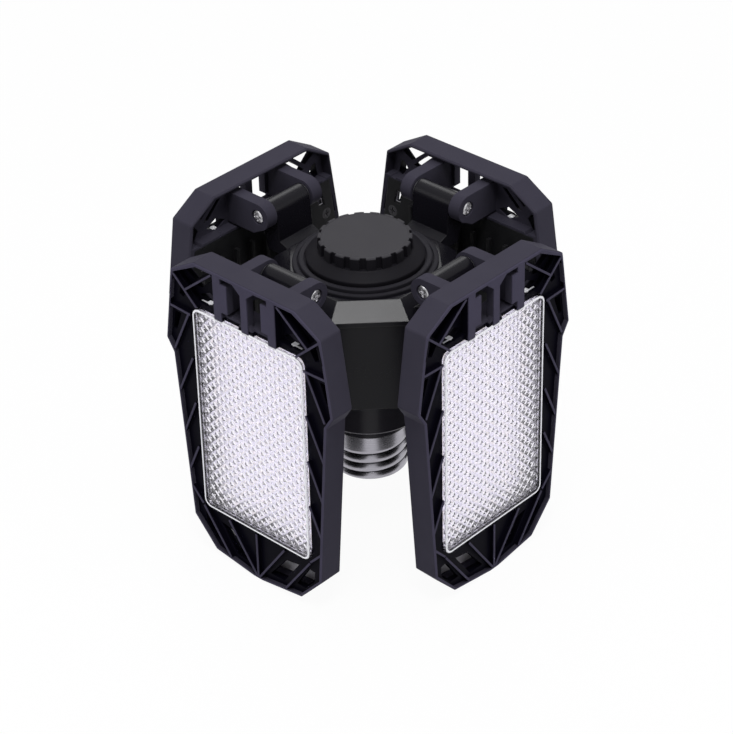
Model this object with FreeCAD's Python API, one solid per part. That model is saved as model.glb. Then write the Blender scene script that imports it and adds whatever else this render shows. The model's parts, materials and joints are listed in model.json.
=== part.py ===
import FreeCAD, Part
import os
from math import cos, pi, sin, sqrt

os.makedirs("parts", exist_ok=True)

# Folding garage light, base down, standing on the lower tips of its four panels.
# Millimetres, Z up, origin on the lamp's axis at the level of those tips.
# The front panel faces -Y. Its points are written (across, up), and its depths are
# distances from the lamp's axis. The other three panels are that one turned about Z.

SIDES = {"front": 0, "right": 90, "back": 180, "left": 270}
past = 1.0                   # how far a cutting tool runs past the face it cuts
root = 0.4                   # how far an added rib or shank runs into what carries it

# panel: right half of its outline, from the lower tip up to the top edge
panel_half = [(2.0, 0.0), (19.8, 2.5), (29.6, 13.2), (34.3, 76.5), (37.3, 81.3),
              (33.2, 108.7), (22.3, 115.1)]
panel_face = 56.2            # outer face, from the axis
panel_back = 46.9            # inner face
panel_corner = 1.2           # rounding of the outline's corners
panel_edge = 0.5             # bevel round both faces
panel_rim = 0.9              # thin raised line round the front
panel_wall = 2.2             # side walls round the rear pocket
pocket_top = 98.8            # top of the rear pocket that holds the light engine

# bezel and its ribs, from end to end on the right half; the left half mirrors them
bezel_floor = 54.6
web_back = 52.8
rib_top = 56.1
rib_width = 0.75
bezel_ribs = [((35.3, 94.7), (25.2, 94.3)),
              ((26.0, 94.2), (33.6, 78.2)),
              ((25.4, 77.5), (33.2, 61.0)),
              ((25.4, 60.0), (32.0, 45.2)),
              ((25.4, 42.4), (30.9, 30.2)),
              ((24.9, 19.5), (30.2, 25.2)),
              ((24.6, 18.9), (12.8, 2.6)),
              ((12.8, 18.2), (0.5, 0.9))]
middle_rib = ((0.0, 18.4), (0.0, 0.6))

# two holes through the bezel each side of the foot's middle; the back cover shows through them
foot_holes = [[(4.6, 3.9), (10.9, 3.9), (18.1, 14.3), (12.2, 13.3)],
              [(16.9, 6.0), (20.9, 6.0), (25.1, 10.5), (25.4, 14.8), (22.6, 14.8)]]

# open lattice above the lens, right half
crown_low = 99.9
crown_floor = 52.9
crown_rear = 50.9
crown_wall = 1.0             # wall round the pocket behind the lattice
window_rear = 53.2           # the lattice is thinner round its windows
window_reach = 11.0
pillar_inner = 1.45          # half the middle pillar
pillar_foot = [(3.4, 97.7), (2.9, 99.4), (pillar_inner, 100.9)]
foot_face = 55.7             # the pillar's foot is sunk a little under the rim
window_outer = 10.3
window_high = 113.9
block_inner = 7.5            # a block beside each outer pillar, clear above and below
block_low, block_high = 101.4, 111.8
pillar_outer = 13.6
crown_ribs = [((33.0, 108.2), (22.0, 98.2)),
              ((14.4, 113.4), (27.0, 103.1))]
crown_window = [(pillar_inner, crown_low), (window_outer, crown_low), (window_outer, block_low),
                (block_inner, block_low), (block_inner, block_high), (window_outer, block_high),
                (window_outer, window_high), (4.7, window_high), (pillar_inner, 111.2)]
crown_pocket = [(pillar_outer, crown_low), (22.3, crown_low), (31.4, 108.4), (21.2, 113.9),
                (pillar_outer, 113.9)]
crown_side = [(22.3, crown_low), (33.9, crown_low), (32.2, 107.6), (31.4, 108.4)]
crown_holes = [[(18.9, 111.3), (24.9, 106.2), (29.2, 108.7), (23.3, 112.2)],
               [(15.6, 110.6), (22.0, 104.6), (24.2, 104.6), (17.6, 110.6)],
               [(14.2, 101.7), (18.6, 99.5), (23.0, 101.7), (18.6, 103.9)],
               [(26.8, 102.6), (29.2, 98.9), (31.0, 99.6), (29.8, 104.8), (28.2, 104.6)]]
side_hole = [(30.9, 92.0), (33.7, 92.0), (35.0, 85.0), (33.4, 85.0)]
cover_slot = [(25.8, 94.8), (28.8, 94.8), (29.9, 89.7), (27.2, 89.7)]
rear_floor = 99.8            # lower wall of the pocket behind the lattice

# lens
lens_half = 24.35
lens_low, lens_high = 19.3, 97.6
lens_corner = 3.0
lens_face = 56.0
lens_edge = 0.5              # bevel round its face
lens_skin = 1.8
lens_wall = 1.5
lens_gap = 0.1               # between the lens and the frame
lens_flange = (1.25, 1.0)    # how far the flange stands past the lens: across, up
flange_low, flange_high = 51.4, 52.8
tab_inner, tab_outer = 17.5, 22.3
tab_face, tab_top = 53.3, 100.0

# light engine
cover_thick = 1.5
cover_gap = 0.15
board_thick = 1.6
board_half = 25.4
board_low, board_high = 18.4, 98.4
board_cut = (20.0, 24.0)     # its lower corners are cut between these: across, up
lead_hole = (0.0, 95.4)
lead_hole_r = 1.5
chip_size = (2.8, 3.5, 0.8)  # across, up, deep
chip_columns, chip_rows = 5, 12
chip_pitch = (9.2, 6.3)
fin_height = 1.5
fin_count = 7
fin_pitch = 7.0
fin_thick = 1.2
fin_low, fin_high = 20.0, 92.0

# screws: head radius, head depth, shank radius, length, and the cross cut in the head
# as its width, its slot and its depth
cover_screw = (2.0, 0.8, 1.05, 5.4, (2.4, 0.5, 0.45))
hinge_screw = (2.3, 1.3, 1.5, 10.0, (2.8, 0.5, 0.8))
hub_screw = (2.8, 1.6, 1.5, 34.1, (3.6, 0.6, 0.9))
cover_screw_places = [(28.0, 34.0), (30.6, 86.0)]
cover_boss_r = 2.3

# hinge: two ears on the panel hold a knuckle on the hub
hinge_out = 36.5             # pin line, from the axis
hinge_up = 107.3
knuckle_r = 4.0
knuckle_half = 7.8
knuckle_web = [(28.0, 92.4), (37.2, 92.4), (40.5, hinge_up), (32.5, hinge_up), (31.6, 97.5),
               (28.0, 96.0)]
ear_r = 4.9
ear_inner, ear_outer = 8.45, 13.0
ear_end = window_rear + root / 2
ear_arm = [(hinge_out, hinge_up + ear_r), (ear_end, hinge_up + ear_r), (ear_end, 100.6),
           (38.5, 100.6), (33.0, 103.9)]
washer_r = 3.6
washer_thick = 0.6
pin_clearance = 0.05
head_gap = 0.25

# hub
cover_flat = 30.5            # axis to flat of the eight-sided cover
housing_flat = 30.1
hub_wall = 2.2
housing_low = 60.4
housing_floor = 3.0
housing_high = 92.4
cover_edge = 94.0
deck_flat = 24.7
deck_up = 99.0
cap_bore_r = 12.2
boss_out = 26.0              # the hub's long screws stand on the diagonals
boss_r = 3.0
boss_rise = 1.2              # how far the bosses run up inside the cover
collar_r = 20.0
collar_bevel = 1.0
collar_low = 42.7
collar_wall = 2.5
collar_floor = 3.0
neck_r, neck_low = 13.8, 37.3           # short neck between the collar and the shell
stub_low = 33.0
lead_way_r = 8.0             # bore through the stub
spigot_r, spigot_bore_r = 12.0, 10.0
spigot_root = 0.5            # how far the spigot starts below the housing
bridge_thick = 1.5           # disc that joins the spigot to the collar's wall

# ring and cap on the deck
ring_r = 24.1
ring_low_top, ring_floor, ring_high_top = 100.0, 99.5, 101.0
ring_split = 22.2
ring_inner = 20.1
ring_round = 0.3
split_half = 0.2             # half the groove between the bands
cap_low = 100.2
cap_r = 19.7
cap_rim = 102.1
crown_r = 15.6
cap_top = 108.6
cap_round = 0.4
flank_foot = (0.5, 0.2)      # where the flank meets the crown: out from it, below the notches
cap_lip = (12.9, 1.2)        # snap lip under the deck: radius, height
cap_notches = 18
notch_width = 1.9
notch_depth = 1.0
notch_low = 104.3

# screw base
shell_r = 13.1
shell_wall = 0.7
shell_low = 19.6
thread_pitch = 3.63
thread_depth = 0.85
thread_half = 1.1            # half a groove's width
groove_bend = (0.6, 0.45)    # the groove's wall bends at these shares of its depth and half width
thread_high = 29.85          # uppermost groove
thread_grooves = [thread_high - turn * thread_pitch for turn in range(3)]
shell_foot = 1.6             # how far the foot turns in
shell_round = 0.1            # the foot's bend starts this far in
foot_lip = (0.8, 0.4)        # inner edge of the turned-in foot: in from it, up
foot_bend = (0.2, 1.3)       # where the inner wall starts to turn in: in from it, up
insulator_top = 22.0
insulator_low = 16.9
insulator_gap = 0.05         # between the insulator and the shell's foot
insulator_bead = (0.75, 0.3)            # bevel under the foot: in, down
insulator_margin = 0.6       # insulator left showing round the contact
contact_low = 15.2
contact_r = 4.6
contact_rim = 0.5
contact_steps = (1.4, 0.2, 2.4)         # in, up, and further in: the soldered tip
contact_stem_r = 2.0
stem_short = 1.0             # the stem stops this far below the insulator's top

# driver electronics inside the hub
driver_level = 68.0
driver_thick = 1.6
driver_r = 22.0
driver_top = driver_level + driver_thick
post_out = 18.0
post_r, post_pin_r = 2.6, 1.6
core_size = (13.0, 15.0, 13.0)
core_window = (6.0, 9.0, 2.0)       # across, up, above the board
coil_size = (5.6, 11.0, 8.6)
core_place = (-6.5, 0.0)
capacitor_pair = [(5.0, 16.0, 9.0, 4.5), (4.0, 11.0, 8.5, -6.5)]     # radius, height, x, y
drum_size = (4.2, 3.3, 7.0, 1.2)    # flange radius, core radius, height, flange
drum_place = (-5.0, 14.0)
chip_packs = [(-6.0, -13.5, 6.0, 5.0, 2.4), (3.5, -14.5, 5.0, 4.0, 1.6), (4.0, 14.5, 7.0, 3.0, 3.0)]
socket_out = 19.3
socket_size = (6.0, 3.2, 5.0)
socket_wall = 0.7
socket_floor = 1.2


def vector(x, y, z):
    return FreeCAD.Vector(x, y, z)


def mirrored(half):
    """The whole outline, anticlockwise, from its right half."""
    left = [(-x, z) for x, z in reversed(half)]
    return half + left


def inset(points, gap):
    """Move every side of an anticlockwise outline inwards by the gap."""
    lines = []
    count = len(points)
    for i in range(count):
        (x1, z1), (x2, z2) = points[i], points[(i + 1) % count]
        length = sqrt((x2 - x1) ** 2 + (z2 - z1) ** 2)
        nx, nz = -(z2 - z1) / length, (x2 - x1) / length
        lines.append((nx, nz, nx * x1 + nz * z1 + gap))
    moved = []
    for i in range(count):
        a1, b1, c1 = lines[i - 1]
        a2, b2, c2 = lines[i]
        det = a1 * b2 - a2 * b1
        moved.append(((c1 * b2 - c2 * b1) / det, (a1 * c2 - a2 * c1) / det))
    return moved


def trimmed(points, level, over=False):
    """The part of a symmetric outline under a level line, or over it."""
    kept = []
    count = len(points)
    for i in range(count):
        (x1, z1), (x2, z2) = points[i], points[(i + 1) % count]
        if (z1 > level) == over:
            kept.append((x1, z1))
        if (z1 - level) * (z2 - level) < 0:
            share = (level - z1) / (z2 - z1)
            kept.append((x1 + share * (x2 - x1), level))
    return kept


def plate(points, near, far):
    """An outline of the front panel as a slab between two distances from the axis."""
    corners = [vector(x, -far, z) for x, z in points]
    face = Part.Face(Part.makePolygon(corners + corners[:1]))
    return face.extrude(vector(0, far - near, 0))


def block(across, near, far, up):
    """A box of the front panel: across and up are (low, high) pairs."""
    size = (across[1] - across[0], far - near, up[1] - up[0])
    return Part.makeBox(*size, vector(across[0], -far, up[0]))


def front_edges(shape):
    """The edges of a slab that run square to the front panel."""
    return [e for e in shape.Edges if abs(e.tangentAt(e.FirstParameter).y) > 0.99]


def rounded_block(across, near, far, up, radius):
    """A box whose four corners seen from the front are round."""
    box = block(across, near, far, up)
    return box.makeFillet(radius, front_edges(box))


def rod(centre, radius, near, far):
    """A round bar square to the front panel."""
    return Part.makeCylinder(radius, far - near, vector(centre[0], -far, centre[1]), vector(0, 1, 0))


def cross_rod(radius, start, end):
    """A round bar along the front hinge's pin line."""
    return Part.makeCylinder(radius, end - start, vector(start, -hinge_out, hinge_up), vector(1, 0, 0))


def side_slab(points, start, end):
    """An outline written (out from the axis, up), as a slab across the front panel."""
    corners = [vector(start, -out, up) for out, up in points]
    face = Part.Face(Part.makePolygon(corners + corners[:1]))
    return face.extrude(vector(end - start, 0, 0))


def turned(profile):
    """Revolve (radius, height) points about the lamp's axis."""
    corners = [vector(r, 0, z) for r, z in profile]
    face = Part.Face(Part.makePolygon(corners + corners[:1]))
    return face.revolve(vector(0, 0, 0), vector(0, 0, 1), 360)


def octagon(flat, height):
    """A level eight-sided wire with flats towards the panels and the diagonals."""
    radius = flat / cos(pi / 8)
    corners = []
    for i in range(8):
        angle = pi / 8 + i * pi / 4
        corners.append(vector(radius * cos(angle), radius * sin(angle), height))
    return Part.makePolygon(corners + corners[:1])


def prism(flat, low, high):
    return Part.Face(octagon(flat, low)).extrude(vector(0, 0, high - low))


def frustum(low_flat, low, high_flat, high):
    return Part.makeLoft([octagon(low_flat, low), octagon(high_flat, high)], True, True)


def cylinder(radius, low, high, x=0, y=0):
    return Part.makeCylinder(radius, high - low, vector(x, y, low))


def diagonal(radius):
    """The four points at a radius on the diagonals between the panels."""
    return [(radius * sx / sqrt(2), radius * sy / sqrt(2)) for sx in (1, -1) for sy in (1, -1)]


def both(shape):
    """A shape of the front panel with its mirror image."""
    return [shape, shape.mirror(vector(0, 0, 0), vector(1, 0, 0))]


def around(shape):
    """A shape of the front side on all four sides."""
    turns = []
    for angle in SIDES.values():
        copy = shape.copy()
        copy.rotate(vector(0, 0, 0), vector(0, 0, 1), angle)
        turns.append(copy)
    return turns


def screw(size):
    """A cross-head screw with its head on the origin and its shank upwards."""
    head_r, head_deep, shank_r, length, (wide, slot, deep) = size
    head = cylinder(head_r, 0, head_deep)
    shank = cylinder(shank_r, head_deep - root / 4, length)
    bar = Part.makeBox(wide, slot, deep + past, vector(-wide / 2, -slot / 2, -past))
    cross = Part.makeBox(slot, wide, deep + past, vector(-slot / 2, -wide / 2, -past))
    return head.fuse(shank).cut([bar, cross])


def save(shape, name, angle=0):
    copy = shape.copy()
    copy.rotate(vector(0, 0, 0), vector(0, 0, 1), angle)
    copy.exportStep("parts/" + name + ".step")
    print(name, len(copy.Solids), round(copy.Volume, 1), copy.isValid())


def save_on_sides(shape, name):
    for side, angle in SIDES.items():
        save(shape, name + "_" + side, angle)


# panel frame: a shell round the light engine, with the lattice above and the ears behind

outline = mirrored(panel_half)


def rib(start, end, near):
    """A straight rib between two points of the front face."""
    dx, dz = end[0] - start[0], end[1] - start[1]
    length = sqrt(dx * dx + dz * dz)
    ox, oz = -dz / length * rib_width / 2, dx / length * rib_width / 2
    corners = [(start[0] + ox, start[1] + oz), (start[0] - ox, start[1] - oz),
               (end[0] - ox, end[1] - oz), (end[0] + ox, end[1] + oz)]
    return plate(corners, near, rib_top)


def ear():
    """A hinge ear: round about the pin line, with an arm back to the panel."""
    arm = side_slab(ear_arm, ear_inner, ear_outer)
    return arm.fuse(cross_rod(ear_r, ear_inner, ear_outer))


def panel_blank():
    """The panel's slab with its corners rounded and both faces bevelled."""
    slab = plate(outline, panel_back, panel_face)
    slab = slab.makeFillet(panel_corner, front_edges(slab))
    rims = [e for e in slab.Edges if abs(e.tangentAt(e.FirstParameter).y) < 0.5]
    return slab.makeChamfer(panel_edge, rims)


def panel_openings():
    """What is cut from the slab: bezel floor, lattice, lens opening, rear pockets and holes."""
    front, rear = panel_face + past, panel_back - past
    cuts = [plate(trimmed(inset(outline, panel_rim), crown_low), bezel_floor, front)]
    cuts += both(plate(crown_side, bezel_floor, front))
    cuts += both(plate(crown_pocket, crown_floor, front))
    cuts += both(plate(crown_window, rear, front))
    cuts.append(plate(trimmed(inset(outline, crown_wall), rear_floor, True), rear, crown_rear))
    cuts.append(block((-window_reach, window_reach), rear, window_rear, (rear_floor, window_high)))
    for hole in crown_holes + [side_hole]:
        cuts += both(plate(hole, rear, front))
    for hole in foot_holes:
        cuts += both(plate(hole, web_back - past, front))
    across = lens_half + lens_gap
    cuts.append(rounded_block((-across, across), web_back - past, front,
                              (lens_low - lens_gap, lens_high + lens_gap), lens_corner))
    cuts.append(plate(trimmed(inset(outline, panel_wall), pocket_top), rear, web_back))
    return cuts


def panel_ribs():
    """The ribs of bezel and lattice, and the feet of the pillars above the lens."""
    ribs = [rib(middle_rib[0], middle_rib[1], bezel_floor - root)]
    ledge = (lens_high + lens_gap, crown_low + root)
    ribs.append(block((-pillar_inner, pillar_inner), bezel_floor - root, panel_face, ledge))
    ribs.append(plate(mirrored(pillar_foot), bezel_floor - root, foot_face))
    ribs += both(block((window_outer, pillar_outer), bezel_floor - root, panel_face, ledge))
    for start, end in bezel_ribs:
        ribs += both(rib(start, end, bezel_floor - root))
    for start, end in crown_ribs:
        ribs += both(rib(start, end, web_back))
    within = plate(inset(outline, panel_rim / 2), panel_back, panel_face)
    return [strip.common(within) for strip in ribs]


def panel_bores():
    """What is cut last: slots for the lens's tabs, and screw holes with room for the heads."""
    head_r, head_deep, shank_r = cover_screw[:3]
    bores = both(block((tab_inner - lens_gap, tab_outer + lens_gap), flange_low - lens_gap,
                       tab_face + lens_gap, (lens_high, tab_top + lens_gap)))
    for centre in cover_screw_places:
        bores += both(rod(centre, shank_r, panel_back, web_back))
        bores += both(rod(centre, head_r + lens_gap, panel_back - past, panel_back + head_deep))
    head_r, head_deep, shank_r = hinge_screw[:3]
    bores += both(cross_rod(shank_r + pin_clearance, ear_inner - past, ear_outer + past))
    seat = ear_outer - head_deep - pin_clearance
    bores += both(cross_rod(head_r + head_gap, seat, ear_outer + past))
    return bores


def panel_frame():
    adds = panel_ribs() + both(ear())
    for centre in cover_screw_places:
        adds += both(rod(centre, cover_boss_r, panel_back + cover_thick, web_back + root / 2))
    frame = panel_blank().cut(panel_openings()).fuse(adds)
    return frame.cut(panel_bores()).removeSplitter()


# lens and light engine

def lens():
    front = rounded_block((-lens_half, lens_half), flange_high, lens_face, (lens_low, lens_high), lens_corner)
    rims = [e for e in front.Edges
            if abs(e.BoundBox.YMin + lens_face) < 0.01 and abs(e.BoundBox.YMax + lens_face) < 0.01]
    front = front.makeChamfer(lens_edge, rims)
    wide, tall = lens_flange
    flange = block((-lens_half - wide, lens_half + wide), flange_low, flange_high,
                   (lens_low - tall, lens_high + tall))
    tabs = both(block((tab_inner, tab_outer), flange_low, tab_face, (lens_high - lens_wall, tab_top)))
    room = lens_half - lens_wall
    hollow = rounded_block((-room, room), flange_low - past, lens_face - lens_skin,
                           (lens_low + lens_wall, lens_high - lens_wall), lens_corner - lens_wall)
    return front.fuse([flange] + tabs).cut(hollow).removeSplitter()


def led_board():
    near = panel_back + cover_thick
    across, up = board_cut
    body = plate([(-board_half, up), (-across, board_low), (across, board_low), (board_half, up),
                  (board_half, board_high), (-board_half, board_high)], near, near + board_thick)
    return body.cut(rod(lead_hole, lead_hole_r, near - past, near + board_thick + past))


def led_chips():
    near = panel_back + cover_thick + board_thick
    middle = (lens_low + lens_high) / 2
    wide, tall, deep = chip_size
    chips = []
    for column in range(chip_columns):
        for row in range(chip_rows):
            x = (column - (chip_columns - 1) / 2) * chip_pitch[0]
            z = middle + (row - (chip_rows - 1) / 2) * chip_pitch[1]
            chips.append(block((x - wide / 2, x + wide / 2), near, near + deep,
                               (z - tall / 2, z + tall / 2)))
    return Part.makeCompound(chips)


def back_cover():
    front = panel_back + cover_thick
    head_r, head_deep, shank_r = cover_screw[:3]
    outer = trimmed(inset(outline, panel_wall + cover_gap), pocket_top - cover_gap)
    body = plate(outer, panel_back, front)
    fins = []
    for i in range(fin_count):
        x = (i - (fin_count - 1) / 2) * fin_pitch
        fins.append(block((x - fin_thick / 2, x + fin_thick / 2), panel_back - fin_height,
                          panel_back + root, (fin_low, fin_high)))
    holes = [rod(lead_hole, lead_hole_r, panel_back - past, front + past)]
    holes += both(plate(cover_slot, panel_back - past, front + past))
    for centre in cover_screw_places:
        holes += both(rod(centre, shank_r, panel_back - past, front + past))
        holes += both(rod(centre, head_r, panel_back - past, panel_back + head_deep))
    return body.fuse(fins).cut(holes).removeSplitter()


def cover_screws():
    screws = []
    for x, z in cover_screw_places:
        one = screw(cover_screw)
        one.rotate(vector(0, 0, 0), vector(1, 0, 0), 90)
        one.translate(vector(x, -panel_back, z))
        screws += both(one)
    return Part.makeCompound(screws)


# hinge hardware

def hinge_screws():
    one = screw(hinge_screw)
    one.rotate(vector(0, 0, 0), vector(0, 1, 0), -90)
    one.translate(vector(ear_outer, -hinge_out, hinge_up))
    return Part.makeCompound(both(one))


def friction_washers():
    washer = cross_rod(washer_r, knuckle_half, knuckle_half + washer_thick)
    return Part.makeCompound(both(washer.cut(cross_rod(hinge_screw[2], 0, ear_outer))))


# hub: an eight-sided cover and housing, with a round collar and a neck below

def knuckle():
    """Barrel of one hinge with the web that carries it, on the front side."""
    body = side_slab(knuckle_web, -knuckle_half, knuckle_half)
    body = body.fuse(cross_rod(knuckle_r, -knuckle_half, knuckle_half))
    return body.cut(cross_rod(hinge_screw[2], -knuckle_half - past, knuckle_half + past))


def hub_cover():
    skirt = prism(cover_flat, housing_high, cover_edge)
    slope = frustum(cover_flat, cover_edge, deck_flat, deck_up)
    inner, turn = cover_flat - hub_wall, cover_edge - past
    room = frustum(inner, turn, deck_flat - hub_wall, deck_up - hub_wall)
    mouth = prism(inner, housing_high - past, turn)
    shell = skirt.fuse(slope).cut([room, mouth])
    lugs = [cylinder(boss_r, housing_high, cover_edge + boss_rise, x, y) for x, y in diagonal(boss_out)]
    shell = shell.fuse(around(knuckle()) + lugs)
    bores = [cylinder(hub_screw[2], housing_high - past, cover_edge + boss_rise / 2, x, y)
             for x, y in diagonal(boss_out)]
    return shell.cut(bores + [cylinder(cap_bore_r, cover_edge, deck_up + past)]).removeSplitter()


def hub_housing():
    shell = prism(housing_flat, housing_low, housing_high)
    shell = shell.cut(prism(housing_flat - hub_wall, housing_low + housing_floor, housing_high + past))
    bosses = [cylinder(boss_r, housing_low + root, housing_high, x, y) for x, y in diagonal(boss_out)]
    shell = shell.fuse(bosses)
    head_r, head_deep, shank_r = hub_screw[:3]
    bores = [cylinder(spigot_r, housing_low - past, housing_low + housing_floor + past)]
    for x, y in diagonal(boss_out):
        bores.append(cylinder(shank_r, housing_low - past, housing_high + past, x, y))
        bores.append(cylinder(head_r, housing_low - past, housing_low + head_deep, x, y))
    return shell.cut(bores).removeSplitter()


def hub_screws():
    screws = []
    for x, y in diagonal(boss_out):
        screws.append(screw(hub_screw).translated(vector(x, y, housing_low)))
    return Part.makeCompound(screws)


def base_collar():
    """Round collar under the housing, with a neck and a stub that the screw shell is pressed on."""
    stub_r = shell_r - shell_wall
    bore_r = collar_r - collar_wall
    profile = [(lead_way_r, stub_low), (stub_r, stub_low), (stub_r, neck_low), (neck_r, neck_low),
               (neck_r, collar_low), (collar_r - collar_bevel, collar_low),
               (collar_r, collar_low + collar_bevel), (collar_r, housing_low), (bore_r, housing_low),
               (bore_r, collar_low + collar_floor), (lead_way_r, collar_low + collar_floor)]
    bore = cylinder(spigot_bore_r, collar_low, cover_edge)
    spigot = cylinder(spigot_r, housing_low - spigot_root, housing_low + housing_floor).cut(bore)
    bridge = cylinder(collar_r - collar_bevel, housing_low - bridge_thick, housing_low).cut(bore)
    return turned(profile).fuse([spigot, bridge]).removeSplitter()


def cap_ring():
    """Two stepped bands with a groove between them, round the foot of the cap."""
    outer, inner = ring_split + split_half, ring_split - split_half
    profile = [(cap_bore_r, deck_up), (ring_r, deck_up), (ring_r, ring_low_top - ring_round),
               (ring_r - ring_round, ring_low_top), (outer, ring_low_top),
               (outer, ring_floor), (inner, ring_floor), (inner, ring_high_top - ring_round),
               (inner - ring_round, ring_high_top),
               (ring_inner + ring_round, ring_high_top), (ring_inner, ring_high_top - ring_round),
               (ring_inner, cap_low), (cap_bore_r, cap_low)]
    return turned(profile)


def vent_cap():
    """Low cap with a sloping flank and a notched crown, snapped into the deck."""
    foot_out, foot_down = flank_foot
    profile = [(0, cap_low), (cap_r, cap_low), (cap_r, cap_rim), (cap_r - cap_round, cap_rim + cap_round),
               (crown_r + foot_out, notch_low - foot_down), (crown_r, notch_low),
               (crown_r, cap_top - cap_round), (crown_r - cap_round, cap_top), (0, cap_top)]
    under = deck_up - hub_wall
    lip_r, lip_high = cap_lip
    stem = cylinder(cap_bore_r, under, cap_low + root)
    lip = cylinder(lip_r, under - lip_high, under)
    notches = []
    for i in range(cap_notches):
        notch = Part.makeBox(notch_depth + past, notch_width, cap_top - notch_low + past,
                             vector(crown_r - notch_depth, -notch_width / 2, notch_low))
        notch.rotate(vector(0, 0, 0), vector(0, 0, 1), (i + 0.5) * 360 / cap_notches)
        notches.append(notch)
    return turned(profile).fuse([stem, lip]).cut(notches).removeSplitter()


# screw base

def screw_shell():
    """Rolled shell: plain skirt above, three round grooves below, turned in at the foot."""
    outer = [(shell_r, neck_low)]
    bend_r = shell_r - groove_bend[0] * thread_depth
    bend_up = groove_bend[1] * thread_half
    for groove in thread_grooves:
        outer.append((shell_r, groove + thread_half))
        outer.append((bend_r, groove + bend_up))
        outer.append((shell_r - thread_depth, groove))
        outer.append((bend_r, groove - bend_up))
        outer.append((shell_r, groove - thread_half))
    outer.append((shell_r - shell_round, shell_low + shell_wall))
    outer.append((shell_r - shell_foot, shell_low))
    inner = [(r - shell_wall, z) for r, z in reversed(outer)]
    inner[0] = (shell_r - shell_foot - foot_lip[0], shell_low + foot_lip[1])
    inner[1] = (shell_r - shell_wall - foot_bend[0], shell_low + foot_bend[1])
    return turned(outer + inner)


def tip_insulator():
    rim = shell_r - shell_foot - foot_lip[0] - insulator_gap
    bead_in, bead_down = insulator_bead
    return turned([(contact_stem_r, insulator_top), (rim, insulator_top), (rim, shell_low + foot_lip[1]),
                   (rim - bead_in, shell_low - bead_down), (contact_r + insulator_margin, insulator_low),
                   (contact_stem_r, insulator_low)])


def centre_contact():
    stem_top = insulator_top - stem_short
    step_in, step_up, tip_in = contact_steps
    return turned([(0, stem_top), (contact_stem_r, stem_top), (contact_stem_r, insulator_low),
                   (contact_r, insulator_low), (contact_r, insulator_low - contact_rim),
                   (contact_r - step_in, contact_low + step_up), (contact_r - tip_in, contact_low),
                   (0, contact_low)])


# driver electronics inside the hub

def driver_board():
    holes = [cylinder(post_pin_r, driver_level - past, driver_top + past, x, y)
             for x, y in diagonal(post_out)]
    return cylinder(driver_r, driver_level, driver_top).cut(holes)


def board_posts():
    posts = []
    for x, y in diagonal(post_out):
        post = cylinder(post_r, housing_low + housing_floor, driver_level, x, y)
        posts.append(post.fuse(cylinder(post_pin_r, driver_level - root, driver_top + 0.8, x, y)))
    return Part.makeCompound(posts)


def on_board(place, wide, deep, tall, lift=0.0):
    """A box-shaped component standing on the driver board."""
    x, y = place
    return Part.makeBox(wide, deep, tall, vector(x - wide / 2, y - deep / 2, driver_top + lift))


def transformer():
    window_wide, window_tall, lift = core_window
    wide, deep, tall = core_size
    window = on_board(core_place, window_wide, deep + past, window_tall, lift)
    core = on_board(core_place, wide, deep, tall).cut(window)
    return core.fuse(on_board(core_place, *coil_size, lift + root / 2))


def capacitors():
    return Part.makeCompound([cylinder(radius, driver_top, driver_top + height, x, y)
                              for radius, height, x, y in capacitor_pair])


def inductor():
    flange_r, core_r, height, flange = drum_size
    outer = cylinder(flange_r, driver_top, driver_top + height, *drum_place)
    core = cylinder(core_r, driver_top, driver_top + height, *drum_place)
    groove = cylinder(flange_r + past, driver_top + flange, driver_top + height - flange, *drum_place)
    return outer.cut(groove.cut(core))


def board_chips():
    return Part.makeCompound([on_board((x, y), wide, deep, tall) for x, y, wide, deep, tall in chip_packs])


def lead_sockets():
    """One two-way plug socket for each panel's lead."""
    wide, deep, tall = socket_size
    place = (0, -socket_out)
    well = on_board(place, wide - 2 * socket_wall, deep - 2 * socket_wall, tall, socket_floor)
    return Part.makeCompound(around(on_board(place, wide, deep, tall).cut(well)))


for name, shape in (("panel_frame", panel_frame()), ("lens", lens()), ("led_board", led_board()),
                    ("led_chips", led_chips()), ("back_cover", back_cover()),
                    ("cover_screws", cover_screws()), ("hinge_screws", hinge_screws()),
                    ("friction_washers", friction_washers())):
    save_on_sides(shape, name)

for name, shape in (("hub_cover", hub_cover()), ("hub_housing", hub_housing()),
                    ("hub_screws", hub_screws()), ("base_collar", base_collar()),
                    ("cap_ring", cap_ring()), ("vent_cap", vent_cap()),
                    ("screw_shell", screw_shell()), ("tip_insulator", tip_insulator()),
                    ("centre_contact", centre_contact()), ("driver_board", driver_board()),
                    ("board_posts", board_posts()), ("transformer", transformer()),
                    ("capacitors", capacitors()), ("inductor", inductor()),
                    ("board_chips", board_chips()), ("lead_sockets", lead_sockets())):
    save(shape, name)
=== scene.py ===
import json
import bmesh
import bpy
import numpy as np
from mathutils import Matrix


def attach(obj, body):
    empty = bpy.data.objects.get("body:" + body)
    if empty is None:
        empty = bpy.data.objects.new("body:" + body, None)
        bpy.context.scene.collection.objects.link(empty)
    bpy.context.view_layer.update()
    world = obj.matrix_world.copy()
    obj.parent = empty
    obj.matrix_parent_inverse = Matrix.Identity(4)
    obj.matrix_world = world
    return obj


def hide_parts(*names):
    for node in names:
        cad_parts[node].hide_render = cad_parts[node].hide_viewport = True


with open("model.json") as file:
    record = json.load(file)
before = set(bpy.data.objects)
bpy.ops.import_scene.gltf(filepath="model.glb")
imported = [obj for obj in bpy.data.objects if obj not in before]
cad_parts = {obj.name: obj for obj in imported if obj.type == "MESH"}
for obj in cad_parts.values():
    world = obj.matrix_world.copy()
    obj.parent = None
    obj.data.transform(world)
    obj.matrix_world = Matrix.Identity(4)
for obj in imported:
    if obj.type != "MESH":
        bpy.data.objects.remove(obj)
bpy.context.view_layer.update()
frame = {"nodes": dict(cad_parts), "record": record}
nodes = frame["nodes"]
mm = 0.001
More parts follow.
